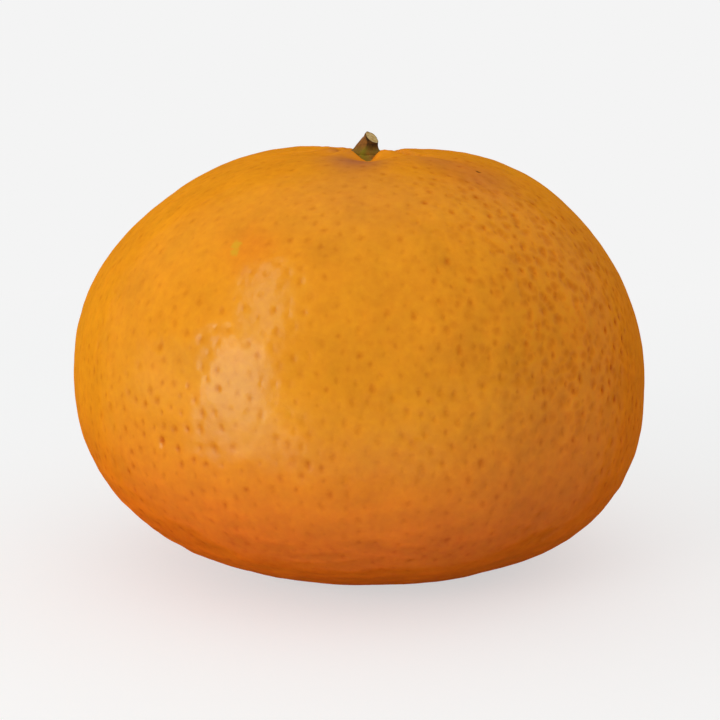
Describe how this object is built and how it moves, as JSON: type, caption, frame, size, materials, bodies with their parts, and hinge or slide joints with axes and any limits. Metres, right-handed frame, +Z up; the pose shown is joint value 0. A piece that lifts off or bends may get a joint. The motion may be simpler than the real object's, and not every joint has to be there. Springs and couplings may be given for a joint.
{
  "type": "orange",
  "caption": "Flattened loose-skinned orange, whole, with a puckered stem end, a small calyx and a short stem stub cut at a slant.",
  "frame": {"origin": "on the resting plane, under the middle of the bounding box; the fruit stands on the flat ring round its blossom end", "axes": "+Z up through the stem end, -Y towards the front, where the widest furrow opens beside the stem; +X to the right, along the longest side"},
  "size_m": [0.0706, 0.0676, 0.0531],
  "materials": {
    "peel": "waxy semi-gloss orange peel, dimpled with oil glands, redder towards the base",
    "calyx": "dry dull olive green, browning at the edges",
    "stem": "dull brown bark with a pale tan cut face"
  },
  "bodies": {
    "root": {"fruit": "peel", "calyx": "calyx", "stem": "stem"}
  },
  "joints": []
}
